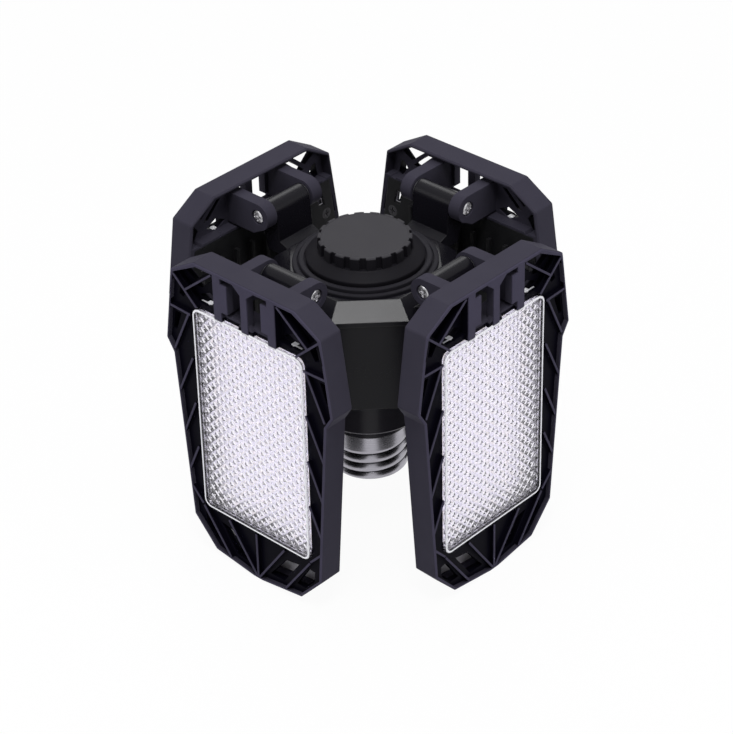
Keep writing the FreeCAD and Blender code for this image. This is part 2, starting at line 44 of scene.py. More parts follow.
sides = {"front": 0, "right": 90, "back": 180, "left": 270}   # each panel's turn about Z, degrees
print("frame:", len(nodes), "nodes")

# place in metres, turns in degrees, lens and sensor in millimetres
photoView = {"place": (0.4885, -0.5180, 0.5260), "yaw": 133.364, "pitch": -33.362, "roll": -1.418,
             "lens": 124.1, "sensor": 36}


# forward from yaw and pitch, right level and square to it, up their cross product, and
# right and up then turned about forward by the roll
def aimCamera(view):
    yaw, pitch, roll = np.radians([view["yaw"], view["pitch"], view["roll"]])
    forward = np.array([np.cos(pitch) * np.cos(yaw), np.cos(pitch) * np.sin(yaw), np.sin(pitch)])
    right = np.array([np.sin(yaw), -np.cos(yaw), 0.0])
    up = np.cross(right, forward)
    across = right * np.cos(roll) + up * np.sin(roll)
    upright = up * np.cos(roll) - right * np.sin(roll)
    data = bpy.data.cameras.new("photoCamera")
    data.lens = view["lens"]
    data.sensor_width = view["sensor"]
    camera = bpy.data.objects.new("photoCamera", data)
    bpy.context.scene.collection.objects.link(camera)
    matrix = Matrix(np.column_stack([across, upright, -forward]).tolist()).to_4x4()
    matrix.translation = view["place"]
    camera.matrix_world = matrix
    bpy.context.scene.camera = camera


aimCamera(photoView)
print("camera set")


# a shader socket that takes part in sums like a number
class Wire:
    def __init__(self, finish, socket):
        self.finish = finish
        self.socket = socket

    def maths(self, operation, first, second=None):
        return self.finish.node("Math", {"operation": operation}, {0: first, 1: second})[0]

    def __add__(self, other):
        return self.maths("ADD", self, other)

    def __radd__(self, other):
        return self.maths("ADD", other, self)

    def __sub__(self, other):
        return self.maths("SUBTRACT", self, other)

    def __rsub__(self, other):
        return self.maths("SUBTRACT", other, self)

    def __mul__(self, other):
        return self.maths("MULTIPLY", self, other)

    def __rmul__(self, other):
        return self.maths("MULTIPLY", other, self)

    def __gt__(self, other):
        return self.maths("GREATER_THAN", self, other)

    def __lt__(self, other):
        return self.maths("LESS_THAN", self, other)

    def __abs__(self):
        return self.maths("ABSOLUTE", self)

    def larger(self, other):
        return self.maths("MAXIMUM", self, other)

    def smaller(self, other):
        return self.maths("MINIMUM", self, other)

    # 0 below low, 1 above high, and a smooth step between
    def step(self, low, high):
        return self.finish.node("MapRange", {"interpolation_type": "SMOOTHSTEP"},
                                {"Value": self, "From Min": low, "From Max": high})[0]


edgeSamples = 6   # rays that feel for a rounded edge


# the node tree of a new material, or of a world
class Finish:
    def __init__(self, name, world=None):
        self.material = world or bpy.data.materials.new(name)
        self.material.use_nodes = True
        self.tree = self.material.node_tree
        self.tree.nodes.clear()

    # one node: its settings first, then the values or links of its sockets. Gives its outputs, each
    # under its number and its name
    def node(self, kind, settings=None, sockets=None):
        made = self.tree.nodes.new("ShaderNode" + kind)
        for key, value in (settings or {}).items():
            setattr(made, key, value)
        for key, value in (sockets or {}).items():
            if isinstance(value, Wire):
                self.tree.links.new(value.socket, made.inputs[key])
            elif value is not None:
                made.inputs[key].default_value = value
        outputs = {}
        for i, socket in enumerate(made.outputs):
            outputs[i] = Wire(self, socket)
            outputs.setdefault(socket.name, outputs[i])
        return outputs

    # colour a where the mask is 0 and b where it is 1, by the sockets of a Mix node that hold colours
    def mix(self, mask, a, b):
        return self.node("Mix", {"data_type": "RGBA"}, {0: mask, 6: a, 7: b})[2]

    # shader a where the mask is 0 and b where it is 1
    def mixShader(self, mask, a, b):
        return self.node("MixShader", {}, {0: mask, 1: a, 2: b})[0]

    # object coordinates, and their parts by name
    def place(self):
        spot = self.node("TexCoord")["Object"]
        return spot, self.node("SeparateXYZ", {}, {"Vector": spot})

    # a value that the mesh keeps at its vertices
    def mark(self, name):
        return self.node("Attribute", {"attribute_name": name})["Fac"]

    # grain of a given size in metres, from 0 to 1
    def grain(self, spot, size, detail=2.0, rough=0.5):
        return self.node("TexNoise", {}, {"Vector": spot, "Scale": 1 / size, "Detail": detail,
                                          "Roughness": rough})["Fac"]

    # edges rounded by a radius in metres, as a normal
    def softEdge(self, radius):
        return self.node("Bevel", {"samples": edgeSamples}, {"Radius": radius})["Normal"]

    # a height from 0 to 1 that stands up to a depth in metres from a normal
    def bump(self, height, normal, depth, strength):
        return self.node("Bump", {}, {"Strength": strength, "Distance": depth, "Height": height,
                                      "Normal": normal})["Normal"]

    def principled(self, sockets):
        return self.node("BsdfPrincipled", {}, sockets)[0]

    # closes the tree with its shader, and gives the finished material
    def output(self, shader):
        self.node("OutputMaterial", {}, {"Surface": shader})
        return self.material


# a colour written as screen values from 0 to 255, made linear by the sRGB curve
def tone(red, green, blue):
    part = np.array([red, green, blue]) / 255
    linear = np.where(part <= 0.04045, part / 12.92, ((part + 0.055) / 1.055) ** 2.4)
    return (*linear.tolist(), 1.0)


# (across, out, up) of the front panel carried to a side: a turn about Z
def onSide(points, side):
    turn = np.radians(sides[side])
    across, out, up = points[..., 0], points[..., 1], points[..., 2]
    return np.stack([across * np.cos(turn) + out * np.sin(turn),
                     across * np.sin(turn) - out * np.cos(turn), up], axis=-1)


# four-sided faces of a grid of vertex numbers; a wrapped direction joins its end to its start
def gridFaces(numbers, wrapRows=False, wrapColumns=False):
    if wrapRows:
        numbers = np.vstack([numbers, numbers[:1]])
    if wrapColumns:
        numbers = np.hstack([numbers, numbers[:, :1]])
    corners = [numbers[:-1, :-1], numbers[:-1, 1:], numbers[1:, 1:], numbers[1:, :-1]]
    return np.stack(corners, axis=-1).reshape(-1, 4)


weld = 0.0001 * mm   # points closer than this are one


# parts are (points, faces) pairs, each a closed surface. Edges sharper than the angle in degrees
# stay sharp, and a mark is a row of values kept at the vertices under its name
def makePiece(name, parts, sharp, marks=None):
    points, faces, start = [], [], 0
    for partPoints, partFaces in parts:
        flat = np.asarray(partPoints, float).reshape(-1, 3)
        points.append(flat)
        faces += [[corner + start for corner in face] for face in partFaces]
        start += len(flat)
    mesh = bpy.data.meshes.new(name)
    mesh.from_pydata(np.vstack(points).tolist(), [], faces)
    for mark, values in (marks or {}).items():
        mesh.attributes.new(mark, "FLOAT", "POINT").data.foreach_set("value", values.astype(np.float32))
    work = bmesh.new()
    work.from_mesh(mesh)
    bmesh.ops.remove_doubles(work, verts=work.verts, dist=weld)
    bmesh.ops.recalc_face_normals(work, faces=work.faces)
    work.to_mesh(mesh)
    work.free()
    mesh.shade_smooth()
    mesh.set_sharp_from_angle(angle=np.radians(sharp))
    piece = bpy.data.objects.new(name, mesh)
    bpy.context.scene.collection.objects.link(piece)
    return piece


# a piece gets its slot's material or one of its own, the body that it rides on, its material slot
# and the nodes that it stands for
def dress(piece, body, slot, stands, material=None):
    piece.data.materials.append(material or finishes[slot])
    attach(piece, body)
    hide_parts(*stands)


# a profile of (radius, up) points turned about Z at the given angles; shift adds to the radius
# of each profile point at each angle. A looped profile joins its last point to its first, and
# an open one is closed by a flat face or a pole at each end
def turnedSurface(profile, angles, shift=0.0, looped=False):
    profile, once = np.asarray(profile, float), np.zeros(len(angles))
    radius, height = profile[:, :1] + shift + once, profile[:, 1:] + once
    points = np.stack([radius * np.cos(angles), radius * np.sin(angles), height], axis=-1)
    numbers = np.arange(height.size).reshape(height.shape)
    faces = gridFaces(numbers, wrapRows=looped, wrapColumns=True).tolist()
    if not looped:
        faces += [numbers[0].tolist(), numbers[-1].tolist()]
    return points, faces


# corners of a profile rounded by arcs: each corner gives way to points on a circle of the radius
# beside it, tangent to both its sides. The circle's middle stands on the line that halves the
# corner, radius / sin(half) away, and touches the sides radius / tan(half) from it
def roundedProfile(corners, steps):
    corners = np.asarray(corners, float)
    made = [corners[0, :2]]
    for before, corner, after in zip(corners[:-2], corners[1:-1], corners[2:]):
        here, radius = corner[:2], corner[2]
        if radius == 0:
            made.append(here)
            continue
        back = (before[:2] - here) / np.linalg.norm(before[:2] - here)
        on = (after[:2] - here) / np.linalg.norm(after[:2] - here)
        half = np.arccos(np.clip(back @ on, -1, 1)) / 2
        share = np.linspace(0, 1, steps + 1)[:, None]
        reach = radius / np.tan(half)
        middle = here + (back + on) / np.linalg.norm(back + on) * radius / np.sin(half)
        start = np.arctan2(*(here + back * reach - middle)[::-1])
        turn = np.arctan2(*(here + on * reach - middle)[::-1]) - start
        angle = start + share * ((turn + np.pi) % (2 * np.pi) - np.pi)
        made.extend(middle + radius * np.hstack([np.cos(angle), np.sin(angle)]))
    made.append(corners[-1, :2])
    return np.array(made)


# in each look a noise is its size, detail and roughness, a bump its depth and strength, and a step
# the two places where it begins and ends. Share is how much of the cloud's tone shows, edge the
# rounding of the edges, level the specular level and rough the roughness. Grit, patch and polish
# are what the grain, the clouds and the recesses add to the roughness or take from it
# the floor tone is painted shade in the recesses, and the rib tone a painted highlight on the front-most
# faces
panelLook = {"floor": tone(8, 7, 16), "wall": tone(58, 56, 67), "rib": tone(70, 67, 84),
             "cloud": tone(40, 38, 48), "clouds": (9 * mm, 3.0), "share": 0.35,
             "grain": (0.35 * mm, 3.0, 0.6), "bump": (0.02 * mm, 0.6), "edge": 0.35 * mm,
             "rough": 0.5, "grit": 0.12, "polish": 0.15, "level": 0.02,
             "deep": (51.0 * mm, 51.4 * mm), "top": (55.75 * mm, 55.95 * mm),
             "rim": 0.95 * mm, "pillars": 13.3 * mm, "crown": 99.0 * mm,
             "body": [(0.0, -0.25), (19.8, 2.5), (29.6, 13.2), (34.3, 76.5), (35.9, 98.0), (0.0, 98.0)],
             "head": [(34.3, 76.5), (37.3, 81.3), (33.2, 108.7), (22.3, 115.1), (0.0, 115.1)]}


# distance in from an outline's nearest side, for its right half as points from the foot up: along
# each side's normal, and the least of them. The left half mirrors it
def depthInside(across, up, outline):
    least = None
    for (x, z), (nextX, nextZ) in zip(outline[:-1], outline[1:]):
        length = np.hypot(nextX - x, nextZ - z)
        normal = (nextZ - z) / length, (x - nextX) / length
        inside = (normal[0] * x + normal[1] * z) * mm - (across * normal[0] + up * normal[1])
        least = inside if least is None else least.smaller(inside)
    return least


# moulded black plastic in two textures: polished in every recess of the front, where its near-black colour
# is painted shade, and a greyer spark-eroded grain on walls, rims, pillars and the tops of the ribs, whose
# front-most faces are painted lighter as a highlight. The panel is a narrow body and a wider head, so the
# depth inside it is the larger of the two
def panelPlastic(look):
    paint = Finish("panelPlastic")
    spot, parts = paint.place()
    x, y, z = abs(parts["X"]), abs(parts["Y"]), parts["Z"]
    out, across = x.larger(y), x.smaller(y)
    depth = depthInside(across, z, look["body"]).larger(depthInside(across, z, look["head"]))
    lattice = (across < look["pillars"]) * (z > look["crown"])
    top = out.step(*look["top"])
    # this mask paints shade: a near-black colour in every recess, along with their polish
    shadedPolishedRecess = out.step(*look["deep"]) * (1 - top) * (depth > look["rim"]) * (1 - lattice)
    fine = paint.grain(spot, *look["grain"])
    # the front-most faces are painted lighter, a painted highlight
    colour = paint.mix(top, look["wall"], look["rib"])
    colour = paint.mix(paint.grain(spot, *look["clouds"]) * look["share"], colour, look["cloud"])
    shader = paint.principled({
        "Base Color": paint.mix(shadedPolishedRecess, colour, look["floor"]),
        "Roughness": look["rough"] + look["grit"] * fine - look["polish"] * shadedPolishedRecess,
        "Normal": paint.bump(fine, paint.softEdge(look["edge"]), *look["bump"]),
        "Specular IOR Level": look["level"]})
    return paint.output(shader)


# what hub, cap and ring have in common, then each one's own
satin = {"clouds": (12 * mm, 3.0), "share": 0.6, "grain": (0.35 * mm, 3.0, 0.6), "bump": (0.02 * mm, 0.6),
         "grit": 0.08, "patch": 0.04}
# low is painted light on the hub's collar, and painted shade on the cap's flank and the ring's lower step
hubLook = {**satin, "base": tone(20, 19, 25), "cloud": tone(14, 13, 18), "low": tone(58, 56, 63),
           "split": (60.2 * mm, 60.4 * mm), "edge": 0.4 * mm, "rough": 0.2, "level": 0.16}
capLook = {**satin, "base": tone(54, 53, 57), "cloud": tone(46, 45, 49), "low": tone(25, 24, 28),
           "split": (108.2 * mm, 108.4 * mm), "edge": 0.3 * mm, "rough": 0.4, "level": 0.05}
ringLook = {**satin, "base": tone(40, 39, 44), "cloud": tone(30, 29, 34), "low": tone(34, 33, 38),
            "split": (99.9 * mm, 100.1 * mm), "edge": 0.3 * mm, "rough": 0.5, "level": 0.05}


# satin black plastic: two near tones in a soft cloud, under a fine grain. Below the split height
# it has a tone of its own, painted light and shade: the round collar is painted paler than the hub over it
# to lift its shade, and the cap's flank and the ring's lower step are painted darker than the faces above
# them, as shade
def hubPlastic(name, look):
    paint = Finish(name)
    spot, parts = paint.place()
    fine, cloud = paint.grain(spot, *look["grain"]), paint.grain(spot, *look["clouds"])
    above = paint.mix(cloud * look["share"], look["base"], look["cloud"])
    shader = paint.principled({
        # below the split height the colour is painted light and shade
        "Base Color": paint.mix(parts["Z"].step(*look["split"]), look["low"], above),
        "Roughness": look["rough"] + look["grit"] * fine + look["patch"] * cloud,
        "Normal": paint.bump(fine, paint.softEdge(look["edge"]), *look["bump"]),
        "Specular IOR Level": look["level"]})
    return paint.output(shader)


plainLook = {"cloud": (4.0, 0.55), "grain": (0.25 * mm, 2.0), "bump": (0.01 * mm, 0.4), "edge": 0.15 * mm,
             "patch": 0.15, "level": 0.5}


# plain metals and mouldings: a colour clouded by a second one, a roughness that follows the
# cloud, and a fine grain. Size is that of the cloud, and glow the strength of the base colour's light, a
# painted glow where it is set
def plainFinish(name, look, base, other, rough, metal=0.0, size=3 * mm, glow=0.0):
    paint = Finish(name)
    spot = paint.place()[0]
    cloud = paint.grain(spot, size, *look["cloud"])
    fine = paint.grain(spot, *look["grain"])
    shader = paint.principled({
        "Base Color": paint.mix(cloud, base, other), "Roughness": rough + look["patch"] * cloud,
        "Normal": paint.bump(fine, paint.softEdge(look["edge"]), *look["bump"]),
        "Metallic": metal, "Specular IOR Level": look["level"],
        "Emission Color": base, "Emission Strength": glow})
    return paint.output(shader)


lensLook = {"tint": tone(250, 248, 255), "border": tone(240, 240, 246), "frost": 0.35, "bend": 1.49,
            "clouds": (2.2 * mm, 2.0), "rough": 0.08, "patch": 0.06}


# clear acrylic that bends the view of the white board behind it, with a frosted white border where
# the piece's own attribute says so
def lensPlastic(look):
    paint = Finish("lensPlastic")
    uneven = paint.grain(paint.place()[0], *look["clouds"])
    clear = paint.principled({"Base Color": look["tint"], "IOR": look["bend"], "Transmission Weight": 1.0,
                              "Roughness": look["rough"] + look["patch"] * uneven})
    frosted = paint.principled({"Base Color": look["border"], "Roughness": look["frost"]})
    return paint.output(paint.mixShader(paint.mark("border"), clear, frosted))


# the groove tone is painted shade in the thread's grooves
shellLook = {"bright": tone(182, 180, 188), "streak": tone(144, 142, 150), "groove": tone(12, 11, 18),
             "deep": (0.3, 0.75), "squeeze": (1, 1, 14), "streaks": (5 * mm, 4.0, 0.6),
             "stains": (4 * mm, 3.0), "bump": (0.01 * mm, 0.5), "rough": 0.2, "grit": 0.1, "patch": 0.06}


# nickel-plated steel: bright, with faint streaks round the shell, and dark as painted shade where the
# piece's own attribute says that a groove is deep
def shellNickel(look):
    paint = Finish("shellNickel")
    spot = paint.place()[0]
    squeezed = paint.node("Mapping", {}, {"Vector": spot, "Scale": look["squeeze"]})[0]
    streak, stain = paint.grain(squeezed, *look["streaks"]), paint.grain(spot, *look["stains"])
    # the deep grooves take the dark tone, painted shade
    groove = paint.mark("groove").step(*look["deep"])
    shader = paint.principled({
        "Base Color": paint.mix(groove, paint.mix(streak, look["bright"], look["streak"]), look["groove"]),
        "Roughness": look["rough"] + look["grit"] * streak + look["patch"] * stain,
        "Normal": paint.bump(streak, None, *look["bump"]), "Metallic": 1.0})
    return paint.output(shader)


coverLook = {"out": tone(38, 38, 41), "cloud": tone(26, 26, 29), "in": tone(200, 198, 205),
             "face": (48.0 * mm, 48.2 * mm), "edge": 0.25 * mm, "clouds": (5 * mm, 3.0),
             "grain": (0.3 * mm, 2.0), "bump": (0.01 * mm, 0.4), "metal": 0.6, "rough": 0.42, "grit": 0.15}


# cast cover: black metal outside, and pale on the faces that look towards the board, which stand
# further out from the lamp's axis
def coverMetal(look):
    paint = Finish("coverMetal")
    spot, parts = paint.place()
    inner = abs(parts["X"]).larger(abs(parts["Y"])).step(*look["face"])
    fine = paint.grain(spot, *look["grain"])
    dark = paint.mix(paint.grain(spot, *look["clouds"]), look["out"], look["cloud"])
    shader = paint.principled({
        "Base Color": paint.mix(inner, dark, look["in"]), "Metallic": look["metal"] - look["metal"] * inner,
        "Roughness": look["rough"] + look["grit"] * fine,
        "Normal": paint.bump(fine, paint.softEdge(look["edge"]), *look["bump"])})
    return paint.output(shader)


steelLook = {"bright": tone(222, 221, 224), "stain": tone(176, 175, 179), "dull": tone(92, 91, 95),
             "stains": (1.2 * mm, 4.0, 0.55), "split": (100.0 * mm, 100.2 * mm), "edge": 0.15 * mm,
             "rough": 0.24, "patch": 0.15, "worn": 0.2}


# zinc-plated steel, bright on the hinges above the split height and darker and rougher on the lower screws
def screwSteel(look):
    paint = Finish("screwSteel")
    spot, parts = paint.place()
    stain = paint.grain(spot, *look["stains"])
    high = parts["Z"].step(*look["split"])
    shader = paint.principled({
        "Base Color": paint.mix(high, look["dull"], paint.mix(stain, look["bright"], look["stain"])),
        "Roughness": look["rough"] + look["patch"] * stain + look["worn"] * (1 - high),
        "Normal": paint.softEdge(look["edge"]), "Metallic": 1.0})
    return paint.output(shader)


finishes = {
    "panel_plastic": panelPlastic(panelLook),
    "hub_plastic": hubPlastic("hubPlastic", hubLook),
    "cap_plastic": hubPlastic("capPlastic", capLook),
    "lens_diffuser": lensPlastic(lensLook),
    "shell_nickel": shellNickel(shellLook),
    "heat_plate_black": coverMetal(coverLook),
    "screw_steel": screwSteel(steelLook),
}
# slot: two tones, roughness, and what differs from plainFinish's usual values
plainLooks = {
    # the board and the chips glow as painted light, in place of light caught behind the lens while the LEDs
    # are off
    "led_board_white": (tone(242, 240, 250), tone(232, 230, 243), 0.5, {"glow": 0.38}),
    "led_phosphor": (tone(246, 242, 240), tone(240, 234, 226), 0.4, {"size": 1 * mm, "glow": 0.38}),
    "washer_steel": (tone(150, 150, 152), tone(110, 110, 114), 0.35, {"metal": 1.0}),
    "insulator_black": (tone(22, 21, 24), tone(34, 32, 36), 0.12, {"size": 2 * mm}),
    "contact_brass": (tone(196, 170, 110), tone(160, 132, 80), 0.28, {"metal": 1.0}),
    "circuit_board": (tone(24, 74, 44), tone(18, 60, 36), 0.35, {}),
    "post_nylon": (tone(222, 219, 208), tone(206, 202, 190), 0.5, {}),
    "ferrite": (tone(48, 46, 45), tone(34, 33, 33), 0.7, {"size": 1 * mm}),
    "capacitor_sleeve": (tone(28, 30, 44), tone(20, 22, 34), 0.3, {}),
    "copper_winding": (tone(186, 104, 60), tone(150, 78, 42), 0.3, {"metal": 1.0, "size": 1 * mm}),
    "chip_black": (tone(26, 26, 27), tone(36, 36, 38), 0.55, {"size": 1 * mm}),
    "socket_nylon": (tone(236, 234, 226), tone(222, 219, 208), 0.45, {}),
}
for slot, (base, other, rough, rest) in plainLooks.items():
    finishes[slot] = plainFinish(slot, plainLook, base, other, rough, **rest)
slotOf = {part["node"]: part["material_slot"] for part in frame["record"]["subparts"]}
for name, node in nodes.items():
    if not node.material_slots:
        node.data.materials.append(None)
    for held in node.material_slots:
        held.material = finishes[slotOf[name]]
print("finishes:", len(finishes))


# the border of a grid of vertex numbers, once round
def borderOf(numbers):
    return np.concatenate([numbers[0, :-1], numbers[:-1, -1], numbers[-1, :0:-1], numbers[:0:-1, 0]])


# a sheet closed behind: its border is joined to the first ring, each ring to the next, and the
# last ring is filled by one flat face
def closeBehind(points, faces, border, rings):
    numbers = len(points) + np.arange(len(rings) * len(border)).reshape(len(rings), -1)
    joined = gridFaces(np.vstack([border, numbers]), wrapColumns=True).tolist()
    return np.vstack([points, *rings]), faces + joined + [numbers[-1].tolist()]


# a box with round edges: each normal of a unit sphere is scaled by the radius and moved to the
# corner of the inner box that it points at. Each quarter turn takes a number of steps
def softBlock(low, high, radius, steps):
    swing = np.linspace(0, np.pi / 2, steps + 1)
    tilt = np.concatenate([swing - np.pi / 2, swing])[:, None]
    turn = np.concatenate([swing + i * np.pi / 2 for i in range(4)])[None, :]
    normal = np.stack([np.cos(tilt) * np.cos(turn), np.cos(tilt) * np.sin(turn),
                       np.sin(tilt) * np.ones_like(turn)], axis=-1)
    quarter = np.repeat(np.arange(4), steps + 1)
    side = np.stack(np.broadcast_arrays(np.where((quarter == 0) | (quarter == 3), 1, -1)[None, :],
                                        np.where(quarter < 2, 1, -1)[None, :],
                                        np.repeat([-1, 1], steps + 1)[:, None]), axis=-1)
    points = (low + high) / 2 + side * ((high - low) / 2 - radius) + normal * radius
    numbers = np.arange(points[..., 0].size).reshape(points.shape[:2])
    faces = gridFaces(numbers, wrapColumns=True).tolist()
    return points.reshape(-1, 3), faces + [numbers[0].tolist(), numbers[-1].tolist()]


# steps are those of the grid along a prism's diagonal, and rowGap how many of them the level rows
# keep from the corners' rows. A ring is how far it stands past the sheet's outline, how far out
# from the axis, and 1 where it is frosted. The tabs are boxes from and to: across for each, then out
# and up for both
lensSize = {"half": 24.35 * mm, "low": 19.3 * mm, "high": 97.6 * mm, "corner": 3.0 * mm,
            "border": 1.0 * mm, "sunk": 55.15 * mm, "prism": 0.75 * mm, "pitch": 2.75 * mm, "fade": 0.5 * mm,
            "steps": 10, "arcSteps": 8, "rowGap": 0.2, "near": 0.02, "sharp": 14,
            "rings": [(0.12, 55.86, 0), (0.3, 55.96, 1), (0.5, 56.0, 1), (0.72, 55.96, 1), (0.9, 55.84, 1),
                      (1.0, 55.6, 0), (1.0, 52.8, 0), (2.25, 52.8, 0), (2.25, 51.4, 0), (-0.5, 51.4, 0),
                      (-0.5, 54.2, 0)],
            "tabs": [(-22.3, -17.5), (17.5, 22.3)], "tabOut": (51.4, 53.3), "tabUp": (95.6, 100.0),
            "tabEdge": 0.25 * mm, "tabSteps": 3}


# a rectangle with round corners. Rows run level; across each row points stand on multiples of a
# tenth of the prisms' diagonal, squeezed where the corners narrow the row. Its depth is a field of
# square pyramids on their points: 1 less the larger of two saw-tooth folds of (across + up) and
# (across - up), and it fades out at the outline. A face on a valley of the first fold is cut in two
# along it, and every other face along the direction of the second
def prismSheet(half, corner, low, high, size):
    diagonal = size["pitch"] * 2 ** 0.5
    step = diagonal / size["steps"]
    middle, tall = (low + high) / 2, (high - low) / 2
    count = int(half / step)
    place = np.concatenate([[-half], np.arange(-count, count + 1) * step, [half]])
    first, last = (low + corner) / step + size["rowGap"], (high - corner) / step - size["rowGap"]
    bend = corner * (1 - np.cos(np.linspace(0, np.pi / 2, size["arcSteps"] + 1)))
    up = np.concatenate([low + bend, np.arange(np.ceil(first), last) * step, high - bend[::-1]])
    past = np.clip(abs(up - middle) - tall + corner, 0, None) / corner
    wide = (half - corner * (1 - np.sqrt(np.clip(1 - past ** 2, 0, 1))))[:, None]
    across = place * (wide / half)
    up = np.broadcast_to(up[:, None], across.shape)
    folds = [abs((value / diagonal) % 1 - 0.5) * 2 for value in (across + up, across - up)]
    fade = np.clip(np.minimum(wide - abs(across), tall - abs(up - middle)) / size["fade"], 0, 1)
    out = size["sunk"] + size["prism"] * (1 - np.maximum(*folds)) * fade
    points = np.stack([across, out, up], axis=-1).reshape(-1, 3)
    numbers = np.arange(across.size).reshape(across.shape)
    a, b, c, d = gridFaces(numbers).T
    crossed = (points[b, 0] + points[b, 2]) / diagonal
    onValley = abs(crossed - np.round(crossed)) < size["near"]
    faces = np.where(onValley[:, None], np.column_stack([a, b, d, b, c, d]),
                     np.column_stack([a, b, c, a, c, d]))
    return points, faces.reshape(-1, 3).tolist(), borderOf(numbers)


# the sheet of prisms, then rings, each the sheet's outline moved along its normal: over the rim,
# down the wall, round the flange and up to a flat roof. Two tabs reach past the flange's top edge
def lensPiece(side, size):
    half, corner = size["half"] - size["border"], size["corner"] - size["border"]
    low, high = size["low"] + size["border"], size["high"] - size["border"]
    points, faces, border = prismSheet(half, corner, low, high, size)
    edge = points[border][:, [0, 2]]
    flat = edge - [0, (low + high) / 2]
    normal = np.sign(flat) * np.clip(abs(flat) - [half - corner, (high - low) / 2 - corner], 0, None)
    normal /= np.linalg.norm(normal, axis=1)[:, None]
    rings, frosted = [], [np.zeros(len(points))]
    for offset, depth, white in size["rings"]:
        rings.append(np.insert(edge + normal * offset * mm, 1, depth * mm, axis=1))
        frosted.append(np.full(len(edge), white))
    sheet = closeBehind(points, faces, border, rings)
    tabs = [softBlock(*np.transpose([across, size["tabOut"], size["tabUp"]]) * mm,
                      size["tabEdge"], size["tabSteps"]) for across in size["tabs"]]
    frosted += [np.ones(len(tab[0])) for tab in tabs]
    parts = [(onSide(points, side), faces) for points, faces in [sheet] + tabs]
    piece = makePiece("prismLens_" + side, parts, size["sharp"], {"border": np.concatenate(frosted)})
    dress(piece, "panel_" + side, "lens_diffuser", ["lens_" + side])


for side in sides:
    lensPiece(side, lensSize)
print("lenses made")


# draft is how much wider a notch is at its lips, and the lip where, as a share of the draft, the cut
# is down to lipCut. Corners are radius, height and rounding radius in millimetres
capSize = {"notches": 18, "width": 1.9 * mm, "floor": 14.6 * mm, "draft": 0.18 * mm, "crown": 104.31 * mm,
           "lip": 0.4, "lipCut": 0.12, "toothPoints": 8, "arcSteps": 5, "sharp": 32,
           "corners": [(0, 95.6, 0), (12.9, 95.6, 0.2), (12.9, 96.8, 0.1), (12.2, 96.8, 0), (12.2, 100.2, 0),
                       (19.7, 100.2, 0.2), (19.7, 102.1, 0.6), (16.0, 104.0, 0.4), (15.6, 104.3, 0.15),
                       (15.6, 108.6, 0.45), (14.4, 108.6, 0.1), (14.2, 108.5, 0.1), (0, 108.5, 0)]}


# a turned profile whose crown is cut by notches: in a notch the radius is at most the floor's.
# Angles stand close together at each notch's walls, where the cut goes from none, by way of a lip,
# to whole, and at even steps over the tooth between two notches
def ventCap(size):
    profile = roundedProfile(np.array(size["corners"]) * mm, size["arcSteps"])
    wall, lean = size["width"] / 2 / size["floor"], size["draft"] / size["floor"]
    beside = np.array([wall / 3, wall, wall + size["lip"] * lean, wall + lean])
    cut = np.array([1, 1, size["lipCut"], 0])
    pitch = 2 * np.pi / size["notches"]
    tooth = np.linspace(wall + lean, pitch - wall - lean, size["toothPoints"])[1:-1]
    offsets = np.concatenate([-beside[::-1], beside, tooth])
    cut = np.concatenate([cut[::-1], cut, np.zeros(len(tooth))])
    angles = ((np.arange(size["notches"]) + 0.5)[:, None] * pitch + offsets).ravel()
    depth = np.clip(profile[:, 0] - size["floor"], 0, None) * (profile[:, 1] > size["crown"])
    shift = -depth[:, None] * np.tile(cut, size["notches"])
    piece = makePiece("notchedCap", [turnedSurface(profile, angles, shift)], size["sharp"])
    dress(piece, "hub", "cap_plastic", ["vent_cap"])


ringSize = {"steps": 144, "arcSteps": 5, "sharp": 32,
            "corners": [(12.2, 99.0, 0), (24.1, 99.0, 0), (24.1, 100.0, 0.45), (22.4, 100.0, 0.3),
                        (22.4, 99.5, 0.08), (22.0, 99.5, 0.08), (22.0, 101.0, 0.45), (20.1, 101.0, 0.4),
                        (20.1, 100.2, 0.1), (12.2, 100.2, 0)]}


# two bands with a groove between them, as one closed profile turned about Z
def capRing(size):
    profile = roundedProfile(np.array(size["corners"]) * mm, size["arcSteps"])
    angles = np.arange(size["steps"]) * 2 * np.pi / size["steps"]
    piece = makePiece("steppedRing", [turnedSurface(profile, angles, looped=True)], size["sharp"])
    dress(piece, "hub", "cap_plastic", ["cap_ring"], hubPlastic("ringPlastic", ringLook))


ventCap(capSize)
capRing(ringSize)
print("cap made")


# the groove stands at its height where the shell faces that many degrees about Z, and the turned-in
# foot is (radius, height) points in millimetres
shellSize = {"radius": 13.1 * mm, "wall": 0.7 * mm, "top": 37.3 * mm, "foot": 20.3 * mm, "pitch": 3.63 * mm,
             "depth": 0.85 * mm, "groove": 29.85 * mm, "facing": -46.7, "fade": (32.0 * mm, 30.9 * mm),
             "footFade": 1.0 * mm, "steps": 144, "rows": 120, "sharp": 40,
             "turnIn": [(13.0, 20.2), (12.75, 19.85), (12.3, 19.65), (11.5, 19.6), (10.8, 19.75),
                        (10.7, 20.1), (11.6, 20.5), (12.2, 21.0)]}


